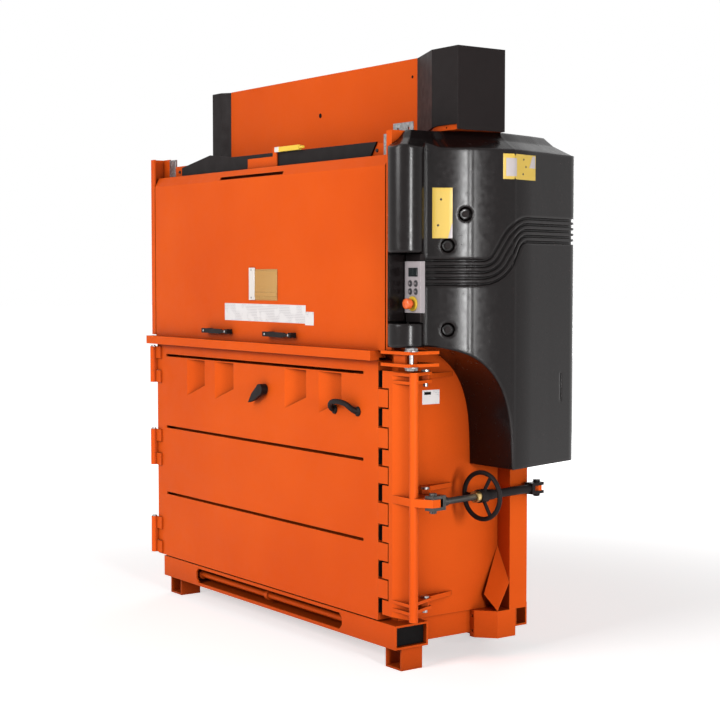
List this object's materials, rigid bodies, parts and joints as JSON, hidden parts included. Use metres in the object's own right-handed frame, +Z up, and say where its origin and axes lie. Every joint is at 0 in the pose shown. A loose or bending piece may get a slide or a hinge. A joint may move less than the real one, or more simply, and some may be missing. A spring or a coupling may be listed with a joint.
{
  "type": "recycling baler",
  "caption": "Upright recycling baler with a hinged bale door, lifting loading hatch, two cylinder towers and a moulded side cover.",
  "frame": {"origin": "on the floor under the middle of the whole machine", "axes": "+X across the front to the side with the controls, +Y from the door into the machine, +Z up"},
  "size_m": [2.1556, 0.898, 2.35],
  "materials": {
    "orange_paint": "satin powder coat",
    "black_paint": "satin",
    "black_plastic": "fine moulded satin",
    "steel": "machined",
    "zinc": "galvanised",
    "brass": "turned",
    "yellow_plastic": "satin",
    "grey_plastic": "satin",
    "key_plastic": "satin",
    "red_plastic": "gloss",
    "screen": "dark glass"
  },
  "bodies": {
    "frame": {"front_beam": "orange_paint", "window_bar": "black_paint", "feet": "orange_paint", "base_frame": "orange_paint", "rear_columns": "orange_paint", "outriggers": "orange_paint", "corner_gussets": "orange_paint", "chamber_side_left": "orange_paint", "chamber_side_right": "orange_paint", "chamber_floor": "orange_paint", "chamber_back": "orange_paint", "door_hinge_straps": "orange_paint", "door_hinge_pins": "steel", "hinge_brackets": "orange_paint", "lock_pins": "steel", "turnbuckle_bracket": "orange_paint", "hatch_guides": "orange_paint", "top_rail": "orange_paint", "front_apron": "black_paint", "switch_arm": "orange_paint", "hatch_switch": "yellow_plastic", "zinc_fittings": "zinc", "crown_plate": "orange_paint", "guard_panel": "orange_paint", "tower_left": "black_paint", "tower_right": "black_paint", "shoulder_plate": "orange_paint", "cylinder_barrels": "black_paint", "side_cover": "black_plastic", "cover_screws": "black_paint", "control_panel": "grey_plastic", "display": "screen", "stop_ring": "yellow_plastic", "oil_tank": "black_paint", "pump_motor": "black_paint"},
    "door": {"bale_door": "orange_paint", "door_teeth": "orange_paint", "door_hinge_leaves": "orange_paint", "door_grip": "black_paint"},
    "lever": {"door_lever": "black_paint"},
    "lock": {"lock_plate": "orange_paint"},
    "rear_link": {"rear_fork": "black_paint"},
    "front_link": {"front_rod": "black_paint"},
    "wheel": {"handwheel": "black_paint", "brass_nut": "brass"},
    "hatch": {"loading_hatch": "orange_paint", "hatch_ledge": "orange_paint", "hatch_handles": "black_paint", "roller_axles": "steel"},
    "rollers_lower": {"hatch_rollers_lower": "grey_plastic"},
    "rollers_upper": {"hatch_rollers_upper": "grey_plastic"},
    "press": {"press_platen": "orange_paint", "ram_plungers": "steel"},
    "ram_outer": {"ram_stage_1": "steel"},
    "ram_inner": {"ram_stage_2": "steel"},
    "stop_button": {"emergency_stop": "red_plastic"},
    "button_1": {"button_1": "key_plastic"},
    "button_2": {"button_2": "key_plastic"},
    "button_3": {"button_3": "key_plastic"},
    "button_4": {"button_4": "key_plastic"}
  },
  "joints": [
    {"name": "hatch_lift", "type": "slide", "parent": "frame", "child": "hatch", "axis": [0, 0, 1], "range_m": [0, 0.55]},
    {"name": "rollers_lower_spin", "type": "hinge", "parent": "hatch", "child": "rollers_lower", "pos_m": [-0.09282, -0.369, 1.25], "axis": [1, 0, 0], "continuous": true},
    {"name": "rollers_upper_spin", "type": "hinge", "parent": "hatch", "child": "rollers_upper", "pos_m": [-0.09282, -0.369, 1.47], "axis": [1, 0, 0], "continuous": true},
    {"name": "door_swing", "type": "hinge", "parent": "frame", "child": "door", "pos_m": [-1.00482, -0.413, 0.69], "axis": [0, 0, -1], "range_deg": [0, 110]},
    {"name": "lever_turn", "type": "hinge", "parent": "door", "child": "lever", "pos_m": [-0.03982, -0.401, 1.019], "axis": [0, 1, 0], "range_deg": [0, 90]},
    {"name": "lock_swing", "type": "hinge", "parent": "frame", "child": "lock", "pos_m": [0.89218, -0.276, 0.66], "axis": [0, 0, 1], "range_deg": [0, 10]},
    {"name": "turnbuckle_swing", "type": "hinge", "parent": "frame", "child": "rear_link", "pos_m": [0.93118, 0.253, 0.66], "axis": [0, 0, 1], "range_deg": [0, 1.29]},
    {"name": "handwheel_spin", "type": "hinge", "parent": "rear_link", "child": "wheel", "pos_m": [0.98085, -0.07122, 0.66], "axis": [0.1514, -0.9885, 0], "range_deg": [0, 1311]},
    {"name": "front_rod_slide", "type": "slide", "parent": "rear_link", "child": "front_link", "axis": [-0.1514, 0.9885, 0], "range_m": [0, 0.02196]},
    {"name": "press_stroke", "type": "slide", "parent": "frame", "child": "press", "axis": [0, 0, -1], "range_m": [0, 0.9]},
    {"name": "ram_outer_stroke", "type": "slide", "parent": "frame", "child": "ram_outer", "axis": [0, 0, -1], "range_m": [0, 0.3]},
    {"name": "ram_inner_stroke", "type": "slide", "parent": "frame", "child": "ram_inner", "axis": [0, 0, -1], "range_m": [0, 0.6]},
    {"name": "stop_press", "type": "slide", "parent": "frame", "child": "stop_button", "axis": [0, 1, 0], "range_m": [0, 0.006]},
    {"name": "button_1_press", "type": "slide", "parent": "frame", "child": "button_1", "axis": [0, 1, 0], "range_m": [0, 0.002], "stiffness_N_per_m": 800},
    {"name": "button_2_press", "type": "slide", "parent": "frame", "child": "button_2", "axis": [0, 1, 0], "range_m": [0, 0.002], "stiffness_N_per_m": 800},
    {"name": "button_3_press", "type": "slide", "parent": "frame", "child": "button_3", "axis": [0, 1, 0], "range_m": [0, 0.002], "stiffness_N_per_m": 800},
    {"name": "button_4_press", "type": "slide", "parent": "frame", "child": "button_4", "axis": [0, 1, 0], "range_m": [0, 0.002], "stiffness_N_per_m": 800}
  ],
  "couplings": [
    {"joint": "turnbuckle_swing", "follows": "lock_swing", "ratio": 0.12636},
    {"joint": "handwheel_spin", "follows": "lock_swing", "ratio": 130.43},
    {"joint": "front_rod_slide", "follows": "lock_swing", "m_per_rad": 0.12455},
    {"joint": "ram_outer_stroke", "follows": "press_stroke", "ratio": 0.33333},
    {"joint": "ram_inner_stroke", "follows": "press_stroke", "ratio": 0.66667}
  ]
}
